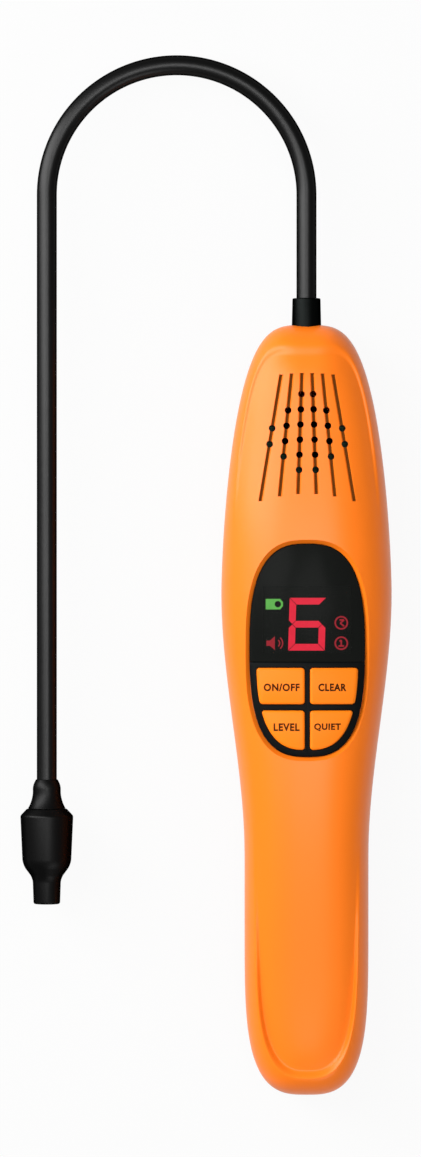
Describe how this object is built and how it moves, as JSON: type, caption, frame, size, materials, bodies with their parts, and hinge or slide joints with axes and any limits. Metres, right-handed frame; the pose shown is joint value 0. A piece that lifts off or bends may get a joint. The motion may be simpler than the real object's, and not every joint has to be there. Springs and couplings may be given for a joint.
{
  "type": "refrigerant leak detector",
  "caption": "Hand-held refrigerant leak detector: moulded orange body with sound grille, digital display and keys, and a black gooseneck probe bent over to a sensor head.",
  "frame": {"origin": "on the flat back that the detector lies on, at the body's centre line and the middle of its length", "axes": "+Z out of the front face with the display, +Y along the body to the probe end, +X to the right as the keys are read"},
  "size_m": [0.1064, 0.2978, 0.0309],
  "materials": {
    "orange_shell": "satin moulded, fine grain",
    "orange_key": "satin",
    "smoked_window": "gloss, smoked",
    "black_plastic": "satin",
    "black_rubber": "satin sheath",
    "red_light": "lit",
    "green_light": "lit",
    "board": "solder mask",
    "pale_plastic": "moulded",
    "wire": "insulated",
    "cell_can": "plain wrap",
    "bright_metal": "plated"
  },
  "bodies": {
    "body": {"front_shell": "orange_shell", "rear_shell": "orange_shell", "display_lens": "smoked_window", "key_frame": "black_plastic", "main_board": "board", "display_module": "black_plastic", "lit_segments": "red_light", "lit_icons": "red_light", "battery_icon": "green_light", "key_switches": "black_plastic", "sounder": "black_plastic", "controller_chip": "black_plastic", "sensor_connector": "pale_plastic", "sensor_lead": "wire", "battery_holder": "black_plastic", "battery_left": "cell_can", "battery_right": "cell_can", "battery_contacts": "bright_metal", "battery_springs": "bright_metal", "battery_leads": "wire", "case_screws": "bright_metal", "board_screws": "bright_metal", "holder_screws": "bright_metal", "ferrule": "black_plastic", "gooseneck_base": "black_rubber"},
    "power_key": {"button_power": "orange_key"},
    "reset_key": {"button_reset": "orange_key"},
    "sens_key": {"button_sens": "orange_key"},
    "mute_key": {"button_mute": "orange_key"},
    "door": {"battery_door": "orange_shell"},
    "neck_1": {"gooseneck_link_1": "black_rubber"},
    "neck_2": {"gooseneck_link_2": "black_rubber"},
    "neck_3": {"gooseneck_link_3": "black_rubber"},
    "neck_4": {"gooseneck_link_4": "black_rubber"},
    "neck_5": {"gooseneck_link_5": "black_rubber"},
    "neck_6": {"gooseneck_link_6": "black_rubber"},
    "neck_7": {"gooseneck_link_7": "black_rubber"},
    "neck_8": {"gooseneck_link_8": "black_rubber"},
    "neck_9": {"gooseneck_link_9": "black_rubber", "head_collar": "black_rubber", "sensor_socket": "pale_plastic", "sensor_element": "bright_metal"},
    "cap": {"sensor_cap": "black_rubber", "tip_filter": "bright_metal"}
  },
  "joints": [
    {"name": "press_power", "type": "slide", "parent": "body", "child": "power_key", "axis": [0, 0, -1], "range_m": [0, 0.0006], "stiffness_N_per_m": 2000, "springref_m": -0.0005},
    {"name": "press_reset", "type": "slide", "parent": "body", "child": "reset_key", "axis": [0, 0, -1], "range_m": [0, 0.0006], "stiffness_N_per_m": 2000, "springref_m": -0.0005},
    {"name": "press_sens", "type": "slide", "parent": "body", "child": "sens_key", "axis": [0, 0, -1], "range_m": [0, 0.0006], "stiffness_N_per_m": 2000, "springref_m": -0.0005},
    {"name": "press_mute", "type": "slide", "parent": "body", "child": "mute_key", "axis": [0, 0, -1], "range_m": [0, 0.0006], "stiffness_N_per_m": 2000, "springref_m": -0.0005},
    {"name": "door_slide", "type": "slide", "parent": "body", "child": "door", "axis": [0, -1, 0], "range_m": [0, 0.09]},
    {"name": "bend_1", "type": "hinge", "parent": "body", "child": "neck_1", "pos_m": [0, 0.14745, 0.015], "axis": [0, 0, -1], "range_deg": [0, 15]},
    {"name": "bend_2", "type": "hinge", "parent": "neck_1", "child": "neck_2", "pos_m": [-0.00498, 0.16605, 0.015], "axis": [0, 0, -1], "range_deg": [0, 30]},
    {"name": "bend_3", "type": "hinge", "parent": "neck_2", "child": "neck_3", "pos_m": [-0.0186, 0.17967, 0.015], "axis": [0, 0, -1], "range_deg": [0, 30]},
    {"name": "bend_4", "type": "hinge", "parent": "neck_3", "child": "neck_4", "pos_m": [-0.0372, 0.18465, 0.015], "axis": [0, 0, -1], "range_deg": [0, 30]},
    {"name": "bend_5", "type": "hinge", "parent": "neck_4", "child": "neck_5", "pos_m": [-0.0558, 0.17967, 0.015], "axis": [0, 0, -1], "range_deg": [0, 30]},
    {"name": "bend_6", "type": "hinge", "parent": "neck_5", "child": "neck_6", "pos_m": [-0.06942, 0.16605, 0.015], "axis": [0, 0, -1], "range_deg": [0, 30]},
    {"name": "bend_7", "type": "hinge", "parent": "neck_6", "child": "neck_7", "pos_m": [-0.0744, 0.14745, 0.015], "axis": [0, 0, -1], "range_deg": [0, 15]},
    {"name": "bend_8", "type": "hinge", "parent": "neck_7", "child": "neck_8", "pos_m": [-0.0744, 0.09221, 0.015], "axis": [0, 0, -1], "range_deg": [-8, 30]},
    {"name": "bend_9", "type": "hinge", "parent": "neck_8", "child": "neck_9", "pos_m": [-0.0744, 0.03529, 0.015], "axis": [0, 0, -1], "range_deg": [-12, 30]},
    {"name": "cap_pull", "type": "slide", "parent": "neck_9", "child": "cap", "axis": [0, -1, 0], "range_m": [0, 0.03]}
  ]
}
